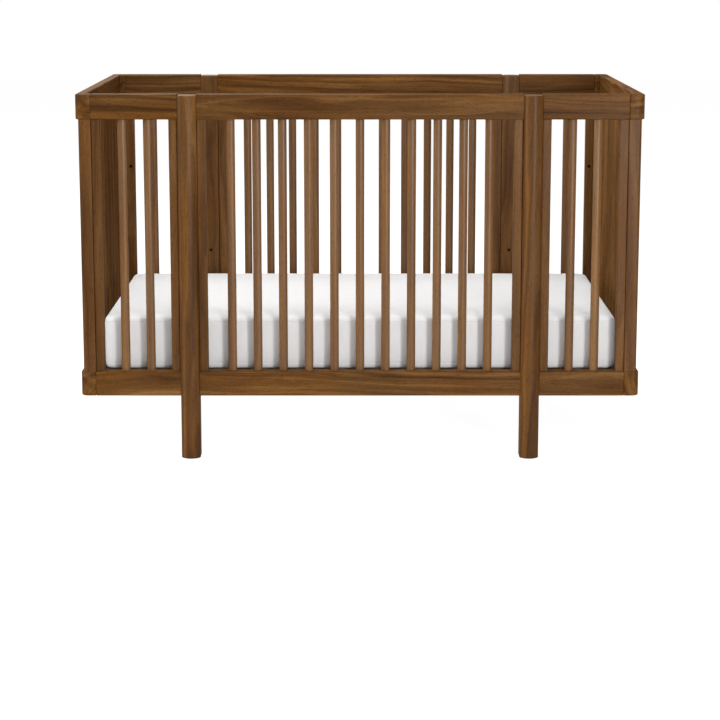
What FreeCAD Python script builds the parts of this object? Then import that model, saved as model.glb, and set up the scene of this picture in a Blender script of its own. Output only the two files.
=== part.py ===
"""Slatted wooden baby crib with a steel mattress support and a mattress.

Millimetres, +Z up, +X to the right along the length, the front side faces -Y.
The origin is on the floor, under the centre of the crib.
Every physical piece is its own solid; equal fasteners share one node as a group.
"""
import FreeCAD, Part
import math
import os

# ---------------------------------------------------------------- driving dimensions
# Clear space inside the panels
interior_length = 1330.0
interior_depth = 711.0

# Rails, the horizontal members
rail_top = 921.0
rail_height = 62.0
rail_thickness = 38.0
bottom_rail_clearance = 162.0
rail_edge_radius = 3.0
rail_end_radius = 1.5
end_rail_corner_radius = 17.0
end_rail_web = 23.0

# Stiles, the flat uprights of the side panels
stile_width = 22.0
stile_thickness = 24.0
stile_edge_radius = 2.5

# Posts, the uprights of the two end panels
post_thickness = 31.0
post_width = 20.0
post_inset = 2.0
post_corner_radius = 7.5
post_edge_radius = 2.0

# Slats
slat_width = 21.5
slat_thickness = 15.0
slat_bow = 5.0
slat_edge_radius = 1.5
slat_pitch = 64.2
least_end_gap = 35.0
widest_short_gap = 60.0

# Legs, D shaped in section
centre_panel_length = 808.0
leg_width = 47.5
leg_bow = 14.0
leg_top_drop = 2.5
leg_edge_radius = 3.0
leg_rim_radius = 2.5

# Tenons and their mortises
tenon_length = 12.0
tenon_shoulder = 3.5
mortise_side_gap = 0.2
mortise_end_gap = 0.5

# Screws that join the panels
bolt_radius = 3.0
bolt_head_radius = 5.0
bolt_head_height = 6.0
bolt_key_flats = 5.0
bolt_key_depth = 3.0
bolt_hole_gap = 0.3
head_recess_depth = 7.0
low_bolt_rise = 76.0
high_bolt_drop = 89.0

# Threaded inserts in the wood
insert_radius = 4.5
insert_length = 15.0
insert_sink = 0.5
insert_fit_gap = 0.05
insert_hole_end_gap = 1.5
bolt_end_gap = 0.5

# Steel mattress support
support_side_gap = 3.5
support_end_gap = 4.0
support_top_drop = 2.0
angle_flange = 32.0
angle_height = 11.0
angle_wall = 2.0
support_slat_width = 30.0
support_slat_wall = 2.0
support_slat_count = 12
support_slat_end_gap = 4.0
centre_bar_width = 20.0

# Brackets that carry the support
bracket_width = 30.0
bracket_wall = 3.0
bracket_shelf = 24.0
bracket_drop = 33.0
bracket_bolt_drop = 16.0
bracket_end_gap = 1.0
bracket_head_radius = 6.0
bracket_head_height = 3.5

# Spare support positions, up from the low one: mid in the legs, high in the corner stiles
mid_support_rise = 227.0
high_support_rise = 467.0

# Mattress
mattress_gap = 9.5
mattress_thickness = 138.0
mattress_corner_radius = 20.0
mattress_top_radius = 15.0
mattress_bottom_radius = 8.0

# Foot glides, nailed under the legs
glide_radius = 12.0
glide_height = 1.5
glide_stem_radius = 2.5
glide_stem_length = 14.0

# ---------------------------------------------------------------- derived places
half_length = interior_length / 2
half_depth = interior_depth / 2
outer_x = half_length + rail_thickness
outer_y = half_depth + rail_thickness
rail_mid_x = half_length + rail_thickness / 2
rail_mid_y = half_depth + rail_thickness / 2
bottom_rail_top = bottom_rail_clearance + rail_height
top_rail_bottom = rail_top - rail_height
upright_height = top_rail_bottom - bottom_rail_top
panel_bolt_heights = (bottom_rail_top + low_bolt_rise, top_rail_bottom - high_bolt_drop)
half_centre = centre_panel_length / 2
leg_outer_x = half_centre + leg_width
leg_mid_x = half_centre + leg_width / 2
corner_stile_x = half_length - stile_width / 2
leg_stile_x = leg_outer_x + stile_width / 2
centre_stile_x = half_centre - stile_width / 2
stile_inner_y = rail_mid_y - stile_thickness / 2
stile_outer_y = rail_mid_y + stile_thickness / 2
end_slat_x = outer_x - end_rail_web / 2
post_x = half_length + post_thickness / 2
post_y = outer_y - post_inset - post_width / 2
corner_bolt_y = (stile_outer_y + post_y - post_width / 2) / 2
insert_hole_depth = insert_sink + insert_length + insert_hole_end_gap
bolt_reach = insert_sink + insert_length + bolt_end_gap
bolt_length = stile_width - head_recess_depth + bolt_reach
bracket_bolt_length = bracket_wall + bolt_reach
insert_bore_radius = bolt_radius + insert_fit_gap
insert_hole_radius = insert_radius + insert_fit_gap
bolt_hole_radius = bolt_radius + bolt_hole_gap
head_recess_radius = bolt_head_radius + bolt_hole_gap
support_top = bottom_rail_top - support_top_drop
support_half_x = half_length - support_end_gap
support_half_y = half_depth - support_side_gap
frame_top = support_top - support_slat_wall
frame_bottom = frame_top - angle_height
bracket_bolt_height = frame_bottom - bracket_bolt_drop
bracket_corner_x = half_length - bracket_end_gap - bracket_width / 2
leg_hole_height = bracket_bolt_height + mid_support_rise
corner_hole_height = bracket_bolt_height + high_support_rise
mattress_length = interior_length - 2 * mattress_gap
mattress_depth = interior_depth - 2 * mattress_gap

X = FreeCAD.Vector(1, 0, 0)
Y = FreeCAD.Vector(0, 1, 0)
Z = FreeCAD.Vector(0, 0, 1)
SIDES = (("front", -1), ("rear", 1))
ENDS = (("left", -1), ("right", 1))


# ---------------------------------------------------------------- helpers
def vec(x, y, z):
    return FreeCAD.Vector(x, y, z)


def centred_box(size_x, size_y, size_z, x, y, z_low):
    """A box centred on x and y, standing on z_low."""
    return Part.makeBox(size_x, size_y, size_z, vec(x - size_x / 2, y - size_y / 2, z_low))


def edges_along(shape, direction):
    """The straight edges of a shape that run along a direction."""
    found = []
    for edge in shape.Edges:
        if edge.Curve.TypeId != "Part::GeomLine":
            continue
        tangent = edge.tangentAt(edge.FirstParameter)
        if abs(tangent.dot(direction)) > 0.999:
            found.append(edge)
    return found


def edges_at(shape, axis, value):
    """The edges that lie wholly in the plane where a coordinate has a value."""
    found = []
    for edge in shape.Edges:
        box = edge.BoundBox
        low = (box.XMin, box.YMin, box.ZMin)[axis]
        high = (box.XMax, box.YMax, box.ZMax)[axis]
        if abs(low - value) < 0.01 and abs(high - value) < 0.01:
            found.append(edge)
    return found


def rod(radius, start, direction, length):
    return Part.makeCylinder(radius, length, start, direction)


def tube(outer_radius, inner_radius, start, direction, length):
    return rod(outer_radius, start, direction, length).cut(rod(inner_radius, start, direction, length))


def save(name, solids):
    """Write one node, which is a single solid or a group of separate solids."""
    shape = solids[0] if len(solids) == 1 else Part.makeCompound(solids)
    shape.exportStep(os.path.join("parts", name + ".step"))


# ---------------------------------------------------------------- uprights and their joints
def with_tenons(body, size_x, size_y, x, y):
    """Add a shouldered tenon to both ends of an upright between the rails."""
    tenon = centred_box(
        size_x - 2 * tenon_shoulder,
        size_y - 2 * tenon_shoulder,
        upright_height + 2 * tenon_length,
        x, y, bottom_rail_top - tenon_length,
    )
    return body.fuse(tenon).removeSplitter()


def mortises(size_x, size_y, x, y):
    """The pockets in both rails that take the tenons of one upright."""
    gap = 2 * mortise_side_gap
    depth = tenon_length + mortise_end_gap
    return centred_box(
        size_x - 2 * tenon_shoulder + gap,
        size_y - 2 * tenon_shoulder + gap,
        upright_height + 2 * depth,
        x, y, bottom_rail_top - depth,
    )


def upright(size_x, size_y, radius, x, y):
    """A rectangular upright with rounded long edges and a tenon at both ends."""
    body = centred_box(size_x, size_y, upright_height, x, y, bottom_rail_top)
    body = body.makeFillet(radius, edges_along(body, Z))
    return with_tenons(body, size_x, size_y, x, y)


def slat(across, x, y):
    """An oval slat: both broad faces are bowed. across is the direction of its width."""
    out = across.cross(Z)
    half_width = slat_width / 2
    half_side = slat_thickness / 2 - slat_bow
    corners = [
        across * (sign_w * half_width) + out * (sign_t * half_side)
        for sign_w, sign_t in ((-1, -1), (1, -1), (1, 1), (-1, 1))
    ]
    crowns = [out * (-slat_thickness / 2), out * (slat_thickness / 2)]
    base = vec(x, y, bottom_rail_top)
    outline = Part.Wire([
        Part.Arc(base + corners[0], base + crowns[0], base + corners[1]).toShape(),
        Part.LineSegment(base + corners[1], base + corners[2]).toShape(),
        Part.Arc(base + corners[2], base + crowns[1], base + corners[3]).toShape(),
        Part.LineSegment(base + corners[3], base + corners[0]).toShape(),
    ])
    body = Part.Face(outline).extrude(Z * upright_height)
    body = body.makeFillet(slat_edge_radius, edges_along(body, Z))
    if across == X:
        return with_tenons(body, slat_width, slat_thickness, x, y)
    return with_tenons(body, slat_thickness, slat_width, x, y)


def end_post(x_sign, y_sign):
    """An end panel's upright, with a large radius on the crib's outer corner."""
    x = x_sign * post_x
    y = y_sign * post_y
    body = centred_box(post_thickness, post_width, upright_height, x, y, bottom_rail_top)
    outer = []
    inner = []
    for edge in edges_along(body, Z):
        point = edge.Vertexes[0].Point
        if abs(point.x) > post_x and abs(point.y) > post_y:
            outer.append(edge)
        else:
            inner.append(edge)
    body = body.makeFillet(post_edge_radius, inner)
    outer = [edge for edge in edges_along(body, Z)
             if abs(edge.Vertexes[0].Point.x) > post_x + post_edge_radius
             and abs(edge.Vertexes[0].Point.y) > post_y + post_edge_radius]
    body = body.makeFillet(post_corner_radius, outer)
    return with_tenons(body, post_thickness, post_width, x, y)


# ---------------------------------------------------------------- rails
def side_rail(x_low, x_high, y_sign, z_low):
    """A rail of a front or rear panel, with softer long edges than ends."""
    length = x_high - x_low
    body = centred_box(length, rail_thickness, rail_height, (x_low + x_high) / 2, y_sign * rail_mid_y, z_low)
    body = body.makeFillet(rail_edge_radius, edges_along(body, X))
    ends = edges_at(body, 0, x_low) + edges_at(body, 0, x_high)
    return body.makeFillet(rail_end_radius, ends)


def end_rail(x_sign, z_low):
    """A rail of an end panel, as long as the crib is deep, with round outer corners.

    It is as thick as the side rails where it covers their ends, and a thinner web between them.
    """
    body = centred_box(rail_thickness, 2 * outer_y, rail_height, x_sign * rail_mid_x, 0, z_low)
    relief = rail_thickness - end_rail_web
    relief_x = x_sign * (half_length + relief / 2)
    body = body.cut(centred_box(relief, interior_depth, rail_height, relief_x, 0, z_low))
    outer = [edge for edge in edges_along(body, Z) if abs(edge.Vertexes[0].Point.x) > outer_x - 0.01]
    body = body.makeFillet(end_rail_corner_radius, outer)
    others = edges_at(body, 2, z_low) + edges_at(body, 2, z_low + rail_height)
    for edge in edges_along(body, Z):
        if abs(edge.Vertexes[0].Point.x) < half_length + 0.01:
            others.append(edge)
    return body.makeFillet(rail_edge_radius, others)


# ---------------------------------------------------------------- screws and inserts
def hex_socket(flats, start, direction, depth):
    """The six-sided pocket that a hex key fits."""
    corner_reach = flats / math.sqrt(3)
    side = direction.cross(Z)
    corners = []
    for index in range(7):
        turn = math.radians(60 * index)
        corners.append(start + side * (corner_reach * math.cos(turn)) + Z * (corner_reach * math.sin(turn)))
    return Part.Face(Part.makePolygon(corners)).extrude(direction * depth)


def panel_bolt(start, direction):
    """A socket head screw. start is the underside of its head."""
    head_top = start - direction * bolt_head_height
    head = rod(bolt_head_radius, head_top, direction, bolt_head_height)
    key = hex_socket(bolt_key_flats, head_top, direction, bolt_key_depth)
    return head.fuse(rod(bolt_radius, start, direction, bolt_length)).cut(key).removeSplitter()


def bracket_bolt(start, direction):
    """A low head screw that holds a support bracket. start is on the bracket."""
    head_top = start - direction * bracket_head_height
    head = rod(bracket_head_radius, head_top, direction, bracket_head_height)
    key = hex_socket(bolt_key_flats, head_top, direction, bolt_key_depth)
    return head.fuse(rod(bolt_radius, start, direction, bracket_bolt_length)).cut(key).removeSplitter()


def threaded_insert(face_point, direction):
    """A sleeve in the wood, just under the face that face_point is on."""
    start = face_point + direction * insert_sink
    return tube(insert_radius, insert_bore_radius, start, direction, insert_length)


def insert_hole(face_point, direction):
    """The blind hole for an insert, a little deeper than the screw in it."""
    return rod(insert_hole_radius, face_point, direction, insert_hole_depth)


def screw_hole(edge_point, direction, through):
    """A clearance hole right through a stile, with a recess for the screw's head."""
    recess = rod(head_recess_radius, edge_point, direction, head_recess_depth)
    return recess.fuse(rod(bolt_hole_radius, edge_point, direction, through))


def panel_joint(edge_x, y, z, x_direction):
    """One screwed joint through a stile: its screw, its insert and the two holes."""
    direction = X * x_direction
    edge_point = vec(edge_x, y, z)
    face_point = edge_point + direction * stile_width
    return {
        "bolt": panel_bolt(edge_point + direction * head_recess_depth, direction),
        "insert": threaded_insert(face_point, direction),
        "screw_hole": screw_hole(edge_point, direction, stile_width),
        "insert_hole": insert_hole(face_point, direction),
    }


def panel_joints(edge_x, y, x_direction):
    """The joints of one stile, one above the other."""
    return [panel_joint(edge_x, y, height, x_direction) for height in panel_bolt_heights]


def cut_all(shape, tools):
    return shape.cut(Part.makeCompound(tools))


# ---------------------------------------------------------------- panels
def spread(count, pitch):
    """Places of a row, centred on zero."""
    return [(index - (count - 1) / 2) * pitch for index in range(count)]


def pitched_slat_places(free_width):
    """As many slats at the set pitch as leave a fair gap at both ends."""
    room = free_width - slat_width - 2 * least_end_gap
    return spread(int(room // slat_pitch) + 1, slat_pitch)


def build_end_panel(end, x_sign, corner_joints):
    """Two rails, two posts and a row of slats, each its own node."""
    x = x_sign * end_slat_x
    places = pitched_slat_places(2 * post_y - post_width)
    slats = [slat(Y, x, y) for y in places]
    pockets = [mortises(slat_thickness, slat_width, x, y) for y in places]
    for side, y_sign in SIDES:
        pockets.append(mortises(post_thickness, post_width, x_sign * post_x, y_sign * post_y))
        post = end_post(x_sign, y_sign)
        holes = [joint["insert_hole"] for joint in corner_joints[(side, end)]]
        save(end + "_end_" + side + "_post", [cut_all(post, holes)])
    save(end + "_end_top_rail", [cut_all(end_rail(x_sign, top_rail_bottom), pockets)])
    save(end + "_end_bottom_rail", [cut_all(end_rail(x_sign, bottom_rail_clearance), pockets)])
    save(end + "_end_slats", slats)


def short_slat_places():
    """Even gaps between the leg stile and the corner stile of a short panel."""
    start = leg_outer_x + stile_width
    span = half_length - stile_width - start
    count = max(1, math.ceil((span - widest_short_gap) / (slat_width + widest_short_gap)))
    gap = (span - count * slat_width) / (count + 1)
    return [start + gap + slat_width / 2 + index * (gap + slat_width) for index in range(count)]


def build_short_panel(side, y_sign, end, x_sign, joints, low_hole, spare_hole):
    """The panel between a leg and the crib's corner."""
    y = y_sign * rail_mid_y
    name = side + "_" + end + "_"
    places = [x_sign * place for place in short_slat_places()]
    slats = [slat(X, x, y) for x in places]
    pockets = [mortises(slat_width, slat_thickness, x, y) for x in places]
    pockets.append(mortises(stile_width, stile_thickness, x_sign * corner_stile_x, y))
    pockets.append(mortises(stile_width, stile_thickness, x_sign * leg_stile_x, y))
    x_ends = sorted((x_sign * leg_outer_x, x_sign * half_length))
    top = side_rail(x_ends[0], x_ends[1], y_sign, top_rail_bottom)
    bottom = side_rail(x_ends[0], x_ends[1], y_sign, bottom_rail_clearance)
    corner = upright(stile_width, stile_thickness, stile_edge_radius, x_sign * corner_stile_x, y)
    inner = upright(stile_width, stile_thickness, stile_edge_radius, x_sign * leg_stile_x, y)
    corner_holes = [joint["screw_hole"] for joint in joints["corner"]] + [spare_hole]
    save(name + "top_rail", [cut_all(top, pockets)])
    save(name + "bottom_rail", [cut_all(bottom, pockets + [low_hole])])
    save(name + "corner_stile", [cut_all(corner, corner_holes)])
    save(name + "leg_stile", [cut_all(inner, [joint["screw_hole"] for joint in joints["leg"]])])
    save(name + "slats", slats)


def build_centre_panel(side, y_sign, joints):
    """The long panel between two legs."""
    y = y_sign * rail_mid_y
    name = side + "_centre_"
    places = pitched_slat_places(2 * centre_stile_x - stile_width)
    slats = [slat(X, x, y) for x in places]
    pockets = [mortises(slat_width, slat_thickness, x, y) for x in places]
    for end, x_sign in ENDS:
        x = x_sign * centre_stile_x
        pockets.append(mortises(stile_width, stile_thickness, x, y))
        stile = upright(stile_width, stile_thickness, stile_edge_radius, x, y)
        save(name + end + "_stile", [cut_all(stile, [joint["screw_hole"] for joint in joints[end]])])
    top = side_rail(-half_centre, half_centre, y_sign, top_rail_bottom)
    bottom = side_rail(-half_centre, half_centre, y_sign, bottom_rail_clearance)
    save(name + "top_rail", [cut_all(top, pockets)])
    save(name + "bottom_rail", [cut_all(bottom, pockets)])
    save(name + "slats", slats)


def leg_body(x_sign, y_sign):
    """A D-shaped leg: flat inside and at its sides, bowed on the outside."""
    x = x_sign * leg_mid_x
    half = leg_width / 2
    inner = y_sign * half_depth
    shoulder = y_sign * outer_y
    left_inner = vec(x - half, inner, glide_height)
    left_outer = vec(x - half, shoulder, glide_height)
    crown = vec(x, shoulder + y_sign * leg_bow, glide_height)
    right_outer = vec(x + half, shoulder, glide_height)
    right_inner = vec(x + half, inner, glide_height)
    outline = Part.Wire([
        Part.LineSegment(left_inner, left_outer).toShape(),
        Part.Arc(left_outer, crown, right_outer).toShape(),
        Part.LineSegment(right_outer, right_inner).toShape(),
        Part.LineSegment(right_inner, left_inner).toShape(),
    ])
    top = rail_top - leg_top_drop
    body = Part.Face(outline).extrude(Z * (top - glide_height))
    inner_edges = [edge for edge in edges_along(body, Z)
                   if abs(edge.Vertexes[0].Point.y - inner) < 0.01]
    body = body.makeFillet(leg_edge_radius, inner_edges)
    return body.makeFillet(leg_rim_radius, edges_at(body, 2, top) + edges_at(body, 2, glide_height))


def build_legs(leg_joints, leg_holes):
    for side, y_sign in SIDES:
        for end, x_sign in ENDS:
            holes = [joint["insert_hole"] for joint in leg_joints[(side, end)]]
            holes += leg_holes[(side, end)]
            holes.append(glide_hole(x_sign, y_sign))
            save(side + "_" + end + "_leg", [cut_all(leg_body(x_sign, y_sign), holes)])


# ---------------------------------------------------------------- feet
def glide_centre(x_sign, y_sign):
    return vec(x_sign * leg_mid_x, y_sign * rail_mid_y, 0)


def glide(x_sign, y_sign):
    """A plastic disc on a stem that is driven into the foot of a leg."""
    centre = glide_centre(x_sign, y_sign)
    disc = rod(glide_radius, centre, Z, glide_height)
    return disc.fuse(rod(glide_stem_radius, centre, Z, glide_stem_length)).removeSplitter()


def glide_hole(x_sign, y_sign):
    radius = glide_stem_radius + insert_fit_gap
    return rod(radius, glide_centre(x_sign, y_sign), Z, glide_stem_length + mortise_end_gap)


# ---------------------------------------------------------------- mattress support
def side_angle(y_sign):
    """A long steel angle: flange on top, its edge turned down at the outside."""
    length = 2 * support_half_x
    flange_y = y_sign * (support_half_y - angle_flange / 2)
    web_y = y_sign * (support_half_y - angle_wall / 2)
    flange = centred_box(length, angle_flange, angle_wall, 0, flange_y, frame_top - angle_wall)
    web = centred_box(length, angle_wall, angle_height, 0, web_y, frame_bottom)
    return flange.fuse(web).removeSplitter()


def end_angle(x_sign, side_angles):
    """A short steel angle, coped to fit between the long ones."""
    length = 2 * (support_half_y - angle_wall)
    flange_x = x_sign * (support_half_x - angle_flange / 2)
    web_x = x_sign * (support_half_x - angle_wall / 2)
    flange = centred_box(angle_flange, length, angle_wall, flange_x, 0, frame_top - angle_wall)
    web = centred_box(angle_wall, length, angle_height, web_x, 0, frame_bottom)
    return cut_all(flange.fuse(web).removeSplitter(), side_angles)


def support_slats():
    """Flat steel strips across the frame."""
    length = 2 * (support_half_y - support_slat_end_gap)
    free = 2 * (support_half_x - angle_flange) - support_slat_count * support_slat_width
    pitch = support_slat_width + free / (support_slat_count + 1)
    return [centred_box(support_slat_width, length, support_slat_wall, x, 0, frame_top)
            for x in spread(support_slat_count, pitch)]


def centre_bar():
    """A flat bar under the strips, from end to end."""
    length = 2 * (support_half_x - angle_flange)
    return centred_box(length, centre_bar_width, angle_height, 0, 0, frame_bottom)


def build_support():
    angles = {side: side_angle(y_sign) for side, y_sign in SIDES}
    for side in angles:
        save("support_" + side + "_angle", [angles[side]])
    for end, x_sign in ENDS:
        save("support_" + end + "_angle", [end_angle(x_sign, list(angles.values()))])
    save("support_slats", support_slats())
    save("support_centre_bar", [centre_bar()])


# ---------------------------------------------------------------- brackets
def bracket(x, y_sign):
    """A steel L: an upright plate on the wood and a shelf that the frame rests on."""
    plate_y = y_sign * (half_depth - bracket_wall / 2)
    shelf_y = y_sign * (half_depth - bracket_shelf / 2)
    plate = centred_box(bracket_width, bracket_wall, bracket_drop, x, plate_y, frame_bottom - bracket_drop)
    shelf = centred_box(bracket_width, bracket_shelf, bracket_wall, x, shelf_y, frame_bottom - bracket_wall)
    hole = rod(bolt_hole_radius, vec(x, 0, bracket_bolt_height), Y * y_sign, outer_y)
    return plate.fuse(shelf).cut(hole).removeSplitter()


def build_brackets():
    brackets = []
    bolts = []
    for side, y_sign in SIDES:
        for end, x_sign in ENDS:
            for place in (bracket_corner_x, leg_mid_x):
                x = x_sign * place
                start = vec(x, y_sign * (half_depth - bracket_wall), bracket_bolt_height)
                brackets.append(bracket(x, y_sign))
                bolts.append(bracket_bolt(start, Y * y_sign))
    save("support_brackets", brackets)
    save("bracket_bolts", bolts)


# ---------------------------------------------------------------- mattress
def build_mattress():
    """The plain outer form of the mattress."""
    body = centred_box(mattress_length, mattress_depth, mattress_thickness, 0, 0, support_top)
    body = body.makeFillet(mattress_corner_radius, edges_along(body, Z))
    body = body.makeFillet(mattress_bottom_radius, edges_at(body, 2, support_top))
    body = body.makeFillet(mattress_top_radius, edges_at(body, 2, support_top + mattress_thickness))
    save("mattress", [body])


# ---------------------------------------------------------------- the whole crib
def build_crib():
    os.makedirs("parts", exist_ok=True)
    corner_joints = {}
    leg_joints = {}
    leg_holes = {}
    support_sleeves = []
    for side, y_sign in SIDES:
        centre_joints = {}
        for end, x_sign in ENDS:
            inward = Y * y_sign
            corner = panel_joints(x_sign * (half_length - stile_width), y_sign * corner_bolt_y, x_sign)
            short = panel_joints(x_sign * (leg_outer_x + stile_width), y_sign * rail_mid_y, -x_sign)
            centre = panel_joints(x_sign * (half_centre - stile_width), y_sign * rail_mid_y, x_sign)
            low = vec(x_sign * bracket_corner_x, y_sign * half_depth, bracket_bolt_height)
            spare = vec(x_sign * corner_stile_x, y_sign * stile_inner_y, corner_hole_height)
            leg_low = vec(x_sign * leg_mid_x, y_sign * half_depth, bracket_bolt_height)
            leg_spare = vec(x_sign * leg_mid_x, y_sign * half_depth, leg_hole_height)
            for point in (low, spare, leg_low, leg_spare):
                support_sleeves.append(threaded_insert(point, inward))
            corner_joints[(side, end)] = corner
            leg_joints[(side, end)] = short + centre
            leg_holes[(side, end)] = [insert_hole(leg_low, inward), insert_hole(leg_spare, inward)]
            centre_joints[end] = centre
            build_short_panel(
                side, y_sign, end, x_sign, {"corner": corner, "leg": short},
                insert_hole(low, inward), insert_hole(spare, inward),
            )
        build_centre_panel(side, y_sign, centre_joints)
    for end, x_sign in ENDS:
        build_end_panel(end, x_sign, corner_joints)
    build_legs(leg_joints, leg_holes)
    save("foot_glides", [glide(x_sign, y_sign) for _, x_sign in ENDS for _, y_sign in SIDES])
    all_corner = [joint for joints in corner_joints.values() for joint in joints]
    all_leg = [joint for joints in leg_joints.values() for joint in joints]
    save("corner_bolts", [joint["bolt"] for joint in all_corner])
    save("leg_bolts", [joint["bolt"] for joint in all_leg])
    save("panel_inserts", [joint["insert"] for joint in all_corner + all_leg])
    save("support_inserts", support_sleeves)
    build_brackets()
    build_support()
    build_mattress()


build_crib()
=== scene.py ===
import math
import random

import bmesh
import bpy
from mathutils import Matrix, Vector


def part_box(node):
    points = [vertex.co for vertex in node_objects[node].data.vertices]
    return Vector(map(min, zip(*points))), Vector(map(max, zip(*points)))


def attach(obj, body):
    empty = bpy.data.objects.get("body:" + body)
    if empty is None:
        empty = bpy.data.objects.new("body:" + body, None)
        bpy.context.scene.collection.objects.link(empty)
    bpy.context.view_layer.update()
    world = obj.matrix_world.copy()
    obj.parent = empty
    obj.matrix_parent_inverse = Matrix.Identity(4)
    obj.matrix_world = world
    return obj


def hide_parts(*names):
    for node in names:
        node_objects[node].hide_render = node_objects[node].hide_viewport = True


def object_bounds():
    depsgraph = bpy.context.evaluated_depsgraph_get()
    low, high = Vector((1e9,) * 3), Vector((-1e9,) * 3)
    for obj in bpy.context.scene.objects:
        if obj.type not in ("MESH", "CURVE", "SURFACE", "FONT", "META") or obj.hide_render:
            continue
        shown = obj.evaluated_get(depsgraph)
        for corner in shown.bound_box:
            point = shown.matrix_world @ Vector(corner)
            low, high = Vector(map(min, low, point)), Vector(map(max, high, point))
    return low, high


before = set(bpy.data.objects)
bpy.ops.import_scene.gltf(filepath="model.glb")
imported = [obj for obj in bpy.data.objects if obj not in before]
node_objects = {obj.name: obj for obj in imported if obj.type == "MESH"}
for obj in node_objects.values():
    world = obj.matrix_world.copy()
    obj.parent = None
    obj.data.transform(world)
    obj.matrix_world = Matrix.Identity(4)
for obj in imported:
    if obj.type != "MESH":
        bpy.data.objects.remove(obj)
cad_low, cad_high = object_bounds()

MM = 0.001


# ---------------------------------------------------------------- places read from the frame
def width_of(node, axis):
    low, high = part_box(node)
    return high[axis] - low[axis]


front_face_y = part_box("front_centre_top_rail")[0].y
crib_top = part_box("front_centre_top_rail")[1].z
crib_half_length = cad_high.x
mattress_low, mattress_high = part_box("mattress")
slat_pitch = 64.2 * MM
pressed_depth = 6 * MM


# ---------------------------------------------------------------- camera
def place_camera():
    """In front of the crib's middle, well above its top rail, looking a little down."""
    lens = 99.3
    frame_drop = -0.1
    distance = 4.892
    height_over_top = 0.3621
    tilt_down = math.radians(9.8)
    camera_data = bpy.data.cameras.new("camera")
    camera_data.lens = lens
    camera_data.shift_y = frame_drop
    camera = bpy.data.objects.new("camera", camera_data)
    camera.location = (0, front_face_y - distance, crib_top + height_over_top)
    camera.rotation_euler = (math.radians(90) - tilt_down, 0, 0)
    bpy.context.scene.collection.objects.link(camera)
    bpy.context.scene.camera = camera


# ---------------------------------------------------------------- shader helpers
def linear(hex_colour):
    """An sRGB hex colour as the linear colour that a shader takes."""
    channels = []
    for place in (1, 3, 5):
        value = int(hex_colour[place:place + 2], 16) / 255
        if value <= 0.04045:
            value = value / 12.92
        else:
            value = ((value + 0.055) / 1.055) ** 2.4
        channels.append(value)
    return (*channels, 1.0)


def add(tree, kind, settings, inputs):
    """A shader node with its settings, and its inputs set or linked."""
    node = tree.nodes.new(kind)
    for name, value in settings.items():
        if name == "stops":
            while len(node.color_ramp.elements) < len(value):
                node.color_ramp.elements.new(0.5)
            for element, (position, colour) in zip(node.color_ramp.elements, value):
                element.position = position
                element.color = colour
        else:
            setattr(node, name, value)
    for key, value in inputs.items():
        if isinstance(value, bpy.types.NodeSocket):
            tree.links.new(value, node.inputs[key])
        else:
            node.inputs[key].default_value = value
    return node


def new_material(name):
    """An empty material, its node tree and its output."""
    material = bpy.data.materials.new(name)
    material.use_nodes = True
    material.node_tree.nodes.clear()
    output = material.node_tree.nodes.new("ShaderNodeOutputMaterial")
    return material, material.node_tree, output


def finish_with(obj, material):
    """Put one material on every slot of an object."""
    if not obj.material_slots:
        obj.data.materials.append(material)
    for slot in obj.material_slots:
        slot.material = material


# ---------------------------------------------------------------- walnut
GRAIN_AXES = {"x": 0, "y": 1, "z": 2}


def grain_scale(axis, across, along):
    """A Mapping scale that gives a unit pattern its size across and along the grain."""
    scale = [1 / across] * 3
    scale[axis] = 1 / along
    return scale


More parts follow.
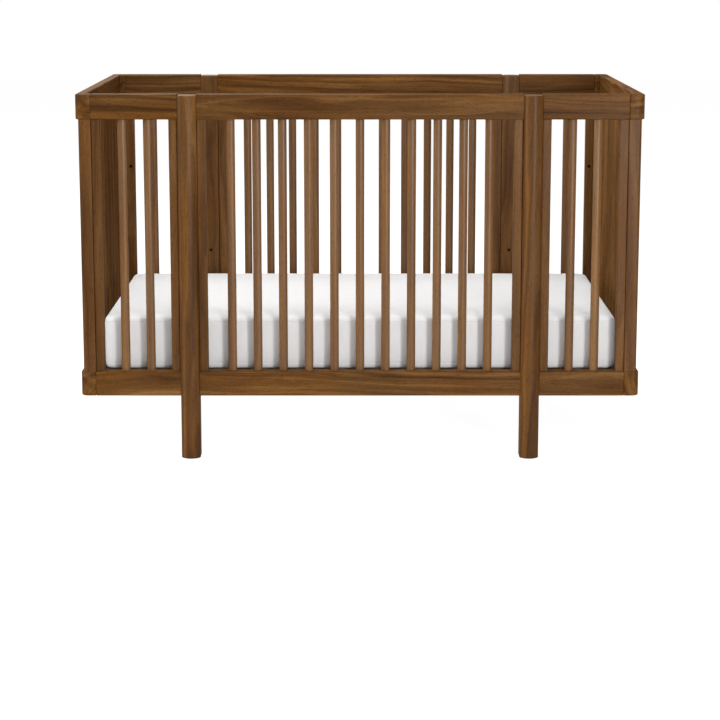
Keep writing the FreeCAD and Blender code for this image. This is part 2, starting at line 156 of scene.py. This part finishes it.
def walnut(name, grain, centre, seed, lift, contrast, shine, own_slats=False):
    """Walnut, planed, stained and sprayed with satin lacquer.

    To the eye: wavy bands of brown along the piece, darker streaks in them, fine dark
    pores, and a soft sheen that is brightest on rounded edges. lift makes a piece paler;
    the left end's slats get a lower one, which is painted shade. shine is how much lacquer
    it has: the slats are dipped, and have more.
    """
    chance = random.Random(seed)
    axis = GRAIN_AXES[grain]
    cross = [1.0, 1.0, 1.0]
    cross[axis] = 0.0
    material, tree, output = new_material(name)
    coords = add(tree, "ShaderNodeTexCoord", {}, {})
    # the heart of the tree lies beside the piece, and leans a little from its length
    lean = [math.radians(chance.uniform(-1.6, 1.6)) for _ in range(3)]
    lean[axis] = chance.uniform(0, math.tau)
    heart = [-value for value in centre]
    heart[axis] += chance.uniform(-4, 4)
    centred = add(tree, "ShaderNodeMapping", {}, {"Vector": coords.outputs["Object"], "Location": heart})
    position = centred.outputs[0]
    slat_tone = None
    if own_slats:
        # each slat is its own stick, with its own figure and tone
        counted = add(tree, "ShaderNodeVectorMath", {"operation": "ADD"},
                      {0: coords.outputs["Object"], 1: [slat_pitch / 2] * 3})
        stick = add(tree, "ShaderNodeVectorMath", {"operation": "SNAP"},
                    {0: counted.outputs[0], 1: (slat_pitch, slat_pitch, 100.0)})
        draw = add(tree, "ShaderNodeTexWhiteNoise", {"noise_dimensions": "3D"}, {"Vector": stick.outputs[0]})
        slat_tone = draw.outputs["Value"]
        spread = add(tree, "ShaderNodeVectorMath", {"operation": "SCALE"},
                     {0: draw.outputs["Color"], "Scale": 3.0})
        moved = add(tree, "ShaderNodeVectorMath", {"operation": "ADD"},
                    {0: coords.outputs["Object"], 1: spread.outputs[0]})
        position = moved.outputs[0]
    leaned = add(tree, "ShaderNodeMapping", {}, {"Vector": position, "Rotation": lean})
    # growth drift: 60 mm across, half a metre along
    drift_map = add(tree, "ShaderNodeMapping", {},
                    {"Vector": leaned.outputs[0], "Scale": grain_scale(axis, 60 * MM, 420 * MM)})
    drift = add(tree, "ShaderNodeTexNoise", {}, {"Vector": drift_map.outputs[0], "Scale": 1.0, "Detail": 2.0})
    centred_drift = add(tree, "ShaderNodeVectorMath", {"operation": "SUBTRACT"},
                        {0: drift.outputs["Color"], 1: (0.5, 0.5, 0.5)})
    drift_size = 46 * MM
    sideways = add(tree, "ShaderNodeVectorMath", {"operation": "MULTIPLY"},
                   {0: centred_drift.outputs[0], 1: [drift_size * value for value in cross]})
    wavy = add(tree, "ShaderNodeVectorMath", {"operation": "ADD"},
               {0: leaned.outputs[0], 1: sideways.outputs[0]})
    # rings round the heart: bands of about 15 mm, drawn wider than real ones so that they show
    offset = [chance.uniform(35, 70) * MM * chance.choice((-1, 1)) * value for value in cross]
    from_heart = add(tree, "ShaderNodeVectorMath", {"operation": "MULTIPLY_ADD"},
                     {0: wavy.outputs[0], 1: cross, 2: offset})
    radius = add(tree, "ShaderNodeVectorMath", {"operation": "LENGTH"}, {0: from_heart.outputs[0]})
    ring_count = add(tree, "ShaderNodeMath", {"operation": "DIVIDE"}, {0: radius.outputs["Value"], 1: 15 * MM})
    rings = add(tree, "ShaderNodeTexNoise", {"noise_dimensions": "1D"},
                {"W": ring_count.outputs[0], "Scale": 1.0, "Detail": 3.0, "Roughness": 0.55})
    # darker mineral streaks: 24 mm across, 360 mm along
    streak_map = add(tree, "ShaderNodeMapping", {},
                     {"Vector": wavy.outputs[0], "Scale": grain_scale(axis, 24 * MM, 360 * MM)})
    streaks = add(tree, "ShaderNodeTexNoise", {}, {"Vector": streak_map.outputs[0], "Scale": 1.0, "Detail": 3.0})
    # fibre: 2 mm across, 90 mm along
    fibre_map = add(tree, "ShaderNodeMapping", {},
                    {"Vector": wavy.outputs[0], "Scale": grain_scale(axis, 2.2 * MM, 90 * MM)})
    fibre = add(tree, "ShaderNodeTexNoise", {}, {"Vector": fibre_map.outputs[0], "Scale": 1.0, "Detail": 2.0})
    # pores: real ones are 0.2 mm wide, drawn 0.8 mm wide and 12 mm long so that they show
    pore_map = add(tree, "ShaderNodeMapping", {},
                   {"Vector": leaned.outputs[0], "Scale": grain_scale(axis, 0.8 * MM, 12 * MM)})
    pore_noise = add(tree, "ShaderNodeTexNoise", {}, {"Vector": pore_map.outputs[0], "Scale": 1.0, "Detail": 1.0})
    pores = add(tree, "ShaderNodeMapRange", {"interpolation_type": "SMOOTHSTEP"},
                {"Value": pore_noise.outputs["Fac"], "From Min": 0.60, "From Max": 0.72})
    ring_share = add(tree, "ShaderNodeMath", {"operation": "MULTIPLY"}, {0: rings.outputs["Fac"], 1: 0.50})
    with_streaks = add(tree, "ShaderNodeMath", {"operation": "MULTIPLY_ADD"},
                       {0: streaks.outputs["Fac"], 1: 0.38, 2: ring_share.outputs[0]})
    figure = add(tree, "ShaderNodeMath", {"operation": "MULTIPLY_ADD"},
                 {0: fibre.outputs["Fac"], 1: 0.12, 2: with_streaks.outputs[0]})
    tone = add(tree, "ShaderNodeMapRange", {"clamp": False},
               {"Value": figure.outputs[0], "To Min": 0.5 - contrast / 2, "To Max": 0.5 + contrast / 2}).outputs[0]
    if slat_tone is not None:
        own = add(tree, "ShaderNodeMath", {"operation": "MULTIPLY_ADD"}, {0: slat_tone, 1: 0.05, 2: tone})
        tone = own.outputs[0]
    lifted = add(tree, "ShaderNodeMath", {"operation": "ADD"}, {0: tone, 1: lift})
    stain = add(tree, "ShaderNodeValToRGB",
                {"stops": [(0.30, linear("#2f1c0a")), (0.44, linear("#503217")),
                           (0.56, linear("#644120")), (0.76, linear("#875e35"))]},
                {"Fac": lifted.outputs[0]})
    # sapwood side golden, heartwood side ashen: slow patches, 110 mm across, 340 mm along
    patch_map = add(tree, "ShaderNodeMapping", {},
                    {"Vector": leaned.outputs[0], "Scale": grain_scale(axis, 110 * MM, 340 * MM)})
    patch = add(tree, "ShaderNodeTexNoise", {}, {"Vector": patch_map.outputs[0], "Scale": 1.0, "Detail": 1.0})
    warmth = add(tree, "ShaderNodeMapRange", {},
                 {"Value": patch.outputs["Fac"], "From Min": 0.38, "From Max": 0.62})
    hue = add(tree, "ShaderNodeMix", {"data_type": "RGBA"},
              {0: warmth.outputs[0], 6: linear("#fffad9"), 7: linear("#f8ffff")})
    stained = add(tree, "ShaderNodeMix", {"data_type": "RGBA", "blend_type": "MULTIPLY"},
                  {0: 1.0, 6: stain.outputs[0], 7: hue.outputs[2]})
    colour = add(tree, "ShaderNodeMix", {"data_type": "RGBA", "blend_type": "MULTIPLY"},
                 {0: pores.outputs[0], 6: stained.outputs[2], 7: linear("#a89684")})
    gloss = add(tree, "ShaderNodeMapRange", {},
                {"Value": fibre.outputs["Fac"], "From Min": 0.3, "From Max": 0.7, "To Min": 0.36, "To Max": 0.46})
    depth = add(tree, "ShaderNodeMath", {"operation": "MULTIPLY_ADD"},
                {0: pores.outputs[0], 1: -1.0, 2: fibre.outputs["Fac"]})
    relief = add(tree, "ShaderNodeBump", {"invert": False},
                 {"Height": depth.outputs[0], "Strength": 0.25, "Distance": 0.15 * MM})
    shader = add(tree, "ShaderNodeBsdfPrincipled", {},
                 {"Base Color": colour.outputs[2], "Roughness": gloss.outputs[0], "Normal": relief.outputs[0],
                  "Specular IOR Level": 0.0, "Coat Weight": shine, "Coat Roughness": 0.38, "Coat IOR": 1.5})
    tree.links.new(shader.outputs[0], output.inputs["Surface"])
    return material


def walnut_pieces():
    """Every wooden node and how it is cut: its grain, and how pale its wood is, with painted shade darkening the
    left end's slats.
    """
    pieces = []
    for node in sorted(node_objects):
        if node.endswith("_slats") and not node.startswith("support"):
            # the left end's slats are painted darker than the right end's: painted shade on inner faces that turn
            # away from the left lamp
            if node == "left_end_slats":
                pieces.append((node, "z", -0.01, 0.6, 0.14, True))
            elif node == "right_end_slats":
                pieces.append((node, "z", 0.08, 0.6, 0.14, True))
            else:
                pieces.append((node, "z", 0.075, 0.6, 0.62, True))
        elif node.endswith("_rail"):
            grain = "y" if "_end_" in node else "x"
            lift = 0.05 if "bottom" in node else 0.01
            pieces.append((node, grain, lift, 1.25, 0.12, False))
        elif node.endswith(("_stile", "_post")):
            pieces.append((node, "z", 0.035, 0.9, 0.24, False))
        elif node.endswith("_leg"):
            pieces.append((node, "z", 0.015, 0.9, 0.24, False))
    return pieces


def finish_wood():
    for number, (node, grain, lift, contrast, shine, own_slats) in enumerate(walnut_pieces()):
        low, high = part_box(node)
        centre = (low + high) / 2
        material = walnut("satin_walnut_" + node, grain, centre, 431 + number, lift, contrast, shine, own_slats)
        finish_with(node_objects[node], material)


# ---------------------------------------------------------------- metal and plastic
def powder_coated_steel():
    """Bent sheet steel with black powder coat: a low sheen over a fine orange peel."""
    material, tree, output = new_material("black_powder_coated_steel")
    coords = add(tree, "ShaderNodeTexCoord", {}, {})
    peel_map = add(tree, "ShaderNodeMapping", {},
                   {"Vector": coords.outputs["Object"], "Scale": [1 / (1.2 * MM)] * 3})
    peel = add(tree, "ShaderNodeTexNoise", {}, {"Vector": peel_map.outputs[0], "Scale": 1.0, "Detail": 2.0})
    sheen_map = add(tree, "ShaderNodeMapping", {},
                    {"Vector": coords.outputs["Object"], "Scale": [1 / (40 * MM)] * 3})
    handled = add(tree, "ShaderNodeTexNoise", {}, {"Vector": sheen_map.outputs[0], "Scale": 1.0, "Detail": 3.0})
    roughness = add(tree, "ShaderNodeMapRange", {},
                    {"Value": handled.outputs["Fac"], "From Min": 0.3, "From Max": 0.7,
                     "To Min": 0.42, "To Max": 0.56})
    colour = add(tree, "ShaderNodeMix", {"data_type": "RGBA"},
                 {0: handled.outputs["Fac"], 6: linear("#161617"), 7: linear("#222224")})
    relief = add(tree, "ShaderNodeBump", {},
                 {"Height": peel.outputs["Fac"], "Strength": 0.3, "Distance": 0.12 * MM})
    shader = add(tree, "ShaderNodeBsdfPrincipled", {},
                 {"Base Color": colour.outputs[2], "Roughness": roughness.outputs[0],
                  "Normal": relief.outputs[0], "IOR": 1.5})
    tree.links.new(shader.outputs[0], output.inputs["Surface"])
    return material


def black_zinc(name, hex_dark, hex_light):
    """Turned steel, black zinc plated: a dark metal with faint cloudy passivation."""
    material, tree, output = new_material(name)
    coords = add(tree, "ShaderNodeTexCoord", {}, {})
    cloud_map = add(tree, "ShaderNodeMapping", {},
                    {"Vector": coords.outputs["Object"], "Scale": [1 / (2.5 * MM)] * 3})
    cloud = add(tree, "ShaderNodeTexNoise", {}, {"Vector": cloud_map.outputs[0], "Scale": 1.0, "Detail": 3.0})
    colour = add(tree, "ShaderNodeMix", {"data_type": "RGBA"},
                 {0: cloud.outputs["Fac"], 6: linear(hex_dark), 7: linear(hex_light)})
    roughness = add(tree, "ShaderNodeMapRange", {},
                    {"Value": cloud.outputs["Fac"], "From Min": 0.3, "From Max": 0.7,
                     "To Min": 0.30, "To Max": 0.42})
    shader = add(tree, "ShaderNodeBsdfPrincipled", {},
                 {"Base Color": colour.outputs[2], "Roughness": roughness.outputs[0], "Metallic": 1.0})
    tree.links.new(shader.outputs[0], output.inputs["Surface"])
    return material


def moulded_polyethylene():
    """Dark brown moulded polyethylene foot glides: waxy, with a fine spark texture."""
    material, tree, output = new_material("moulded_polyethylene_glide")
    coords = add(tree, "ShaderNodeTexCoord", {}, {})
    spark_map = add(tree, "ShaderNodeMapping", {},
                    {"Vector": coords.outputs["Object"], "Scale": [1 / (0.8 * MM)] * 3})
    spark = add(tree, "ShaderNodeTexNoise", {}, {"Vector": spark_map.outputs[0], "Scale": 1.0, "Detail": 2.0})
    colour = add(tree, "ShaderNodeMix", {"data_type": "RGBA"},
                 {0: spark.outputs["Fac"], 6: linear("#2a1f17"), 7: linear("#3a2c22")})
    relief = add(tree, "ShaderNodeBump", {},
                 {"Height": spark.outputs["Fac"], "Strength": 0.3, "Distance": 0.1 * MM})
    shader = add(tree, "ShaderNodeBsdfPrincipled", {},
                 {"Base Color": colour.outputs[2], "Roughness": 0.5, "Normal": relief.outputs[0], "IOR": 1.51})
    tree.links.new(shader.outputs[0], output.inputs["Surface"])
    return material


def finish_hardware():
    steel = powder_coated_steel()
    for node in sorted(node_objects):
        if node.startswith("support_") and node != "support_inserts":
            finish_with(node_objects[node], steel)
    bolt_metal = black_zinc("black_zinc_plated_bolt", "#3a3835", "#55524d")
    for node in ("corner_bolts", "leg_bolts", "bracket_bolts"):
        finish_with(node_objects[node], bolt_metal)
    insert_metal = black_zinc("blackened_zinc_insert", "#1c1a18", "#33302c")
    for node in ("panel_inserts", "support_inserts"):
        finish_with(node_objects[node], insert_metal)
    finish_with(node_objects["foot_glides"], moulded_polyethylene())


# ---------------------------------------------------------------- mattress
def deselect_all():
    for obj in list(bpy.context.selected_objects):
        obj.select_set(False)


def work_on(obj):
    """Make one object the only one selected, and active."""
    deselect_all()
    obj.select_set(True)
    bpy.context.view_layer.objects.active = obj


def apply_modifiers(obj):
    work_on(obj)
    for modifier in list(obj.modifiers):
        bpy.ops.object.modifier_apply(modifier=modifier.name)


def near(value, target):
    return abs(value - target) < 0.1 * MM


def start_mattress(shrink):
    """A block a little smaller than the finished mattress, with round corners and soft rims.

    It hangs a little below the support, so that pressing it flat there leaves a crisp lower edge.
    """
    size = mattress_high - mattress_low
    corner_radius = 18 * MM - shrink
    rim_radius = 10 * MM
    top = mattress_high.z - shrink
    bottom = mattress_low.z - pressed_depth
    deselect_all()
    bpy.ops.mesh.primitive_cube_add(size=1)
    block = bpy.context.object
    block.name = "mattress_cover"
    block.scale = (size.x - 2 * shrink, size.y - 2 * shrink, top - bottom)
    block.location = (0, 0, (top + bottom) / 2)
    bpy.ops.object.transform_apply(location=True, rotation=True, scale=True)
    edit = bmesh.new()
    edit.from_mesh(block.data)
    upright_edges = [edge for edge in edit.edges if not near(edge.verts[0].co.z, edge.verts[1].co.z)]
    bmesh.ops.bevel(edit, geom=upright_edges, offset=corner_radius, segments=8, profile=0.5, affect="EDGES")
    for height in (top, bottom):
        rim = [edge for edge in edit.edges
               if near(edge.verts[0].co.z, height) and near(edge.verts[1].co.z, height)]
        bmesh.ops.bevel(edit, geom=rim, offset=rim_radius, segments=5, profile=0.5, affect="EDGES")
    edit.to_mesh(block.data)
    edit.free()
    return block


def calm(block, passes):
    """Even out small lumps in the mesh."""
    smooth = block.modifiers.new("calm", "SMOOTH")
    smooth.factor = 0.5
    smooth.iterations = passes
    apply_modifiers(block)


def fill_with_foam(block):
    """Blow the cover out with cloth pressure, as the foam in it does, and cap how far it goes."""
    frames = 20
    bulge = 3 * MM
    remesh = block.modifiers.new("even_mesh", "REMESH")
    remesh.mode = "VOXEL"
    remesh.voxel_size = 9 * MM
    apply_modifiers(block)
    calm(block, 4)
    before = [vertex.co.copy() for vertex in block.data.vertices]
    cloth = block.modifiers.new("cover", "CLOTH")
    cloth.settings.use_pressure = True
    cloth.settings.uniform_pressure_force = 4.0
    cloth.settings.effector_weights.gravity = 0
    cloth.point_cache.frame_start = 1
    cloth.point_cache.frame_end = frames
    for step in range(1, frames + 1):
        bpy.context.scene.frame_set(step)
    apply_modifiers(block)
    bpy.context.scene.frame_set(1)
    for vertex, start in zip(block.data.vertices, before):
        move = vertex.co - start
        if move.length > 1e-9:
            vertex.co = start + move.normalized() * bulge * math.tanh(move.length / bulge)
    calm(block, 5)


def rest_on_support(block):
    """Press the underside flat where it lies on the steel strips."""
    for vertex in block.data.vertices:
        vertex.co.z = max(vertex.co.z, mattress_low.z)
    edit = bmesh.new()
    edit.from_mesh(block.data)
    bmesh.ops.remove_doubles(edit, verts=edit.verts[:], dist=0.4 * MM)
    edit.to_mesh(block.data)
    edit.free()


def sew_seam(block, height):
    """A stitched seam round the side: a narrow groove pulled into the cover."""
    depth = 0.7 * MM
    half_width = 2.5 * MM
    edit = bmesh.new()
    edit.from_mesh(block.data)
    for step in (-1, -0.5, 0, 0.5, 1):
        bmesh.ops.bisect_plane(edit, geom=edit.verts[:] + edit.edges[:] + edit.faces[:],
                               plane_co=(0, 0, height + step * half_width), plane_no=(0, 0, 1), dist=1e-6)
    edit.normal_update()
    for vertex in edit.verts:
        off = abs(vertex.co.z - height) / half_width
        if off < 1 and abs(vertex.normal.z) < 0.7:
            outward = Vector((vertex.normal.x, vertex.normal.y, 0)).normalized()
            vertex.co -= outward * depth * (1 - off * off) ** 2
    edit.to_mesh(block.data)
    edit.free()


def make_mattress():
    block = start_mattress(3 * MM)
    fill_with_foam(block)
    finer = block.modifiers.new("finer", "SUBSURF")
    finer.levels = 1
    finer.render_levels = 1
    apply_modifiers(block)
    rest_on_support(block)
    sew_seam(block, mattress_high.z - 20 * MM)
    sew_seam(block, mattress_low.z + 14 * MM)
    return block


def woven_cover():
    """White woven polyester mattress cover: matt, with a fine plain weave and faint shading."""
    material, tree, output = new_material("white_woven_mattress_cover")
    coords = add(tree, "ShaderNodeTexCoord", {}, {})
    thread = 1.6 * MM
    warp_map = add(tree, "ShaderNodeMapping", {},
                   {"Vector": coords.outputs["Object"], "Scale": [1 / thread] * 3})
    weave = add(tree, "ShaderNodeTexChecker", {}, {"Vector": warp_map.outputs[0], "Scale": 1.0})
    slub_map = add(tree, "ShaderNodeMapping", {},
                   {"Vector": coords.outputs["Object"], "Scale": [1 / (30 * MM), 1 / (30 * MM), 1 / (30 * MM)]})
    slub = add(tree, "ShaderNodeTexNoise", {}, {"Vector": slub_map.outputs[0], "Scale": 1.0, "Detail": 4.0})
    colour = add(tree, "ShaderNodeMix", {"data_type": "RGBA"},
                 {0: slub.outputs["Fac"], 6: linear("#dedede"), 7: linear("#e6e6e6")})
    relief = add(tree, "ShaderNodeBump", {},
                 {"Height": weave.outputs["Fac"], "Strength": 0.15, "Distance": 0.15 * MM})
    shader = add(tree, "ShaderNodeBsdfPrincipled", {},
                 {"Base Color": colour.outputs[2], "Roughness": 0.85, "Normal": relief.outputs[0],
                  "Sheen Weight": 0.1, "Sheen Roughness": 0.5, "IOR": 1.45})
    tree.links.new(shader.outputs[0], output.inputs["Surface"])
    return material


def build_mattress():
    block = make_mattress()
    work_on(block)
    bpy.ops.object.shade_smooth()
    finish_with(block, woven_cover())
    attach(block, "mattress")
    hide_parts("mattress")


# ---------------------------------------------------------------- floor and light
def plain_floor():
    """A pale seamless studio floor: white to the eye, and it keeps the crib's soft shadow."""
    material, tree, output = new_material("white_studio_floor")
    path = add(tree, "ShaderNodeLightPath", {}, {})
    seen_or_glossy = add(tree, "ShaderNodeMath", {"operation": "MAXIMUM"},
                         {0: path.outputs["Is Camera Ray"], 1: path.outputs["Is Glossy Ray"]})
    seen = add(tree, "ShaderNodeMath", {"operation": "MAXIMUM"},
               {0: seen_or_glossy.outputs[0], 1: path.outputs["Is Transmission Ray"]})
    strength = add(tree, "ShaderNodeMath", {"operation": "MULTIPLY"}, {0: seen.outputs[0], 1: 0.93})
    shade = add(tree, "ShaderNodeMix", {"data_type": "RGBA"},
                {0: seen.outputs[0], 6: linear("#e6e6e6"), 7: linear("#a0a0a0")})
    paint = add(tree, "ShaderNodeBsdfDiffuse", {}, {"Color": shade.outputs[2]})
    white = add(tree, "ShaderNodeEmission", {}, {"Color": (1, 1, 1, 1), "Strength": strength.outputs[0]})
    both = add(tree, "ShaderNodeAddShader", {}, {0: paint.outputs[0], 1: white.outputs[0]})
    tree.links.new(both.outputs[0], output.inputs["Surface"])
    return material


def build_floor():
    half = 14.0
    floor_z = -0.5 * MM
    corners = [(-half, -half, floor_z), (half, -half, floor_z), (half, half, floor_z), (-half, half, floor_z)]
    mesh = bpy.data.meshes.new("studio_floor")
    mesh.from_pydata(corners, [], [(0, 1, 2, 3)])
    floor = bpy.data.objects.new("studio_floor", mesh)
    bpy.context.scene.collection.objects.link(floor)
    finish_with(floor, plain_floor())


def light_world():
    """A white room: even light from all round, and pure white where the eye sees past the floor."""
    ambient = 0.16
    world = bpy.data.worlds.new("white_room")
    world.use_nodes = True
    tree = world.node_tree
    tree.nodes.clear()
    output = tree.nodes.new("ShaderNodeOutputWorld")
    path = add(tree, "ShaderNodeLightPath", {}, {})
    seen_or_glossy = add(tree, "ShaderNodeMath", {"operation": "MAXIMUM"},
                         {0: path.outputs["Is Camera Ray"], 1: path.outputs["Is Glossy Ray"]})
    seen = add(tree, "ShaderNodeMath", {"operation": "MAXIMUM"},
               {0: seen_or_glossy.outputs[0], 1: path.outputs["Is Transmission Ray"]})
    strength = add(tree, "ShaderNodeMapRange", {},
                   {"Value": seen.outputs[0], "To Min": ambient, "To Max": 1.0})
    background = add(tree, "ShaderNodeBackground", {},
                     {"Color": (1, 1, 1, 1), "Strength": strength.outputs[0]})
    tree.links.new(background.outputs[0], output.inputs["Surface"])
    bpy.context.scene.world = world


def softbox(name, place, target, width, height, power):
    """A soft area light that looks at a point."""
    lamp_data = bpy.data.lights.new(name, "AREA")
    lamp_data.shape = "RECTANGLE"
    lamp_data.size = width
    lamp_data.size_y = height
    lamp_data.energy = power
    lamp = bpy.data.objects.new(name, lamp_data)
    lamp.location = place
    lamp.rotation_euler = (Vector(target) - Vector(place)).to_track_quat("-Z", "Y").to_euler()
    bpy.context.scene.collection.objects.link(lamp)


def light_studio():
    light_world()
    middle = (0, 0, crib_top / 2)
    # a broad lamp far to the left shades what faces right, and a narrow one to the right of
    # the camera, low down, puts a line of light on every rounded upright
    softbox("left_softbox", (-6.4, -2.0, 2.3), middle, 2.4, 2.0, 216)
    softbox("narrow_softbox", (1.9, -4.9, 0.75), middle, 0.8, 1.3, 100)
    softbox("front_softbox", (0.7, -3.9, 2.2), middle, 1.8, 1.4, 47)
    softbox("top_softbox", (-0.5, 0.1, 3.4), (0, 0, 0), 2.6, 1.8, 98)
    softbox("rear_softbox", (-1.6, 5.4, 2.4), middle, 2.6, 2.0, 50)


# ---------------------------------------------------------------- the scene
def build_scene():
    place_camera()
    finish_wood()
    finish_hardware()
    build_mattress()
    build_floor()
    light_studio()
    bpy.context.scene.view_settings.view_transform = "Standard"


build_scene()
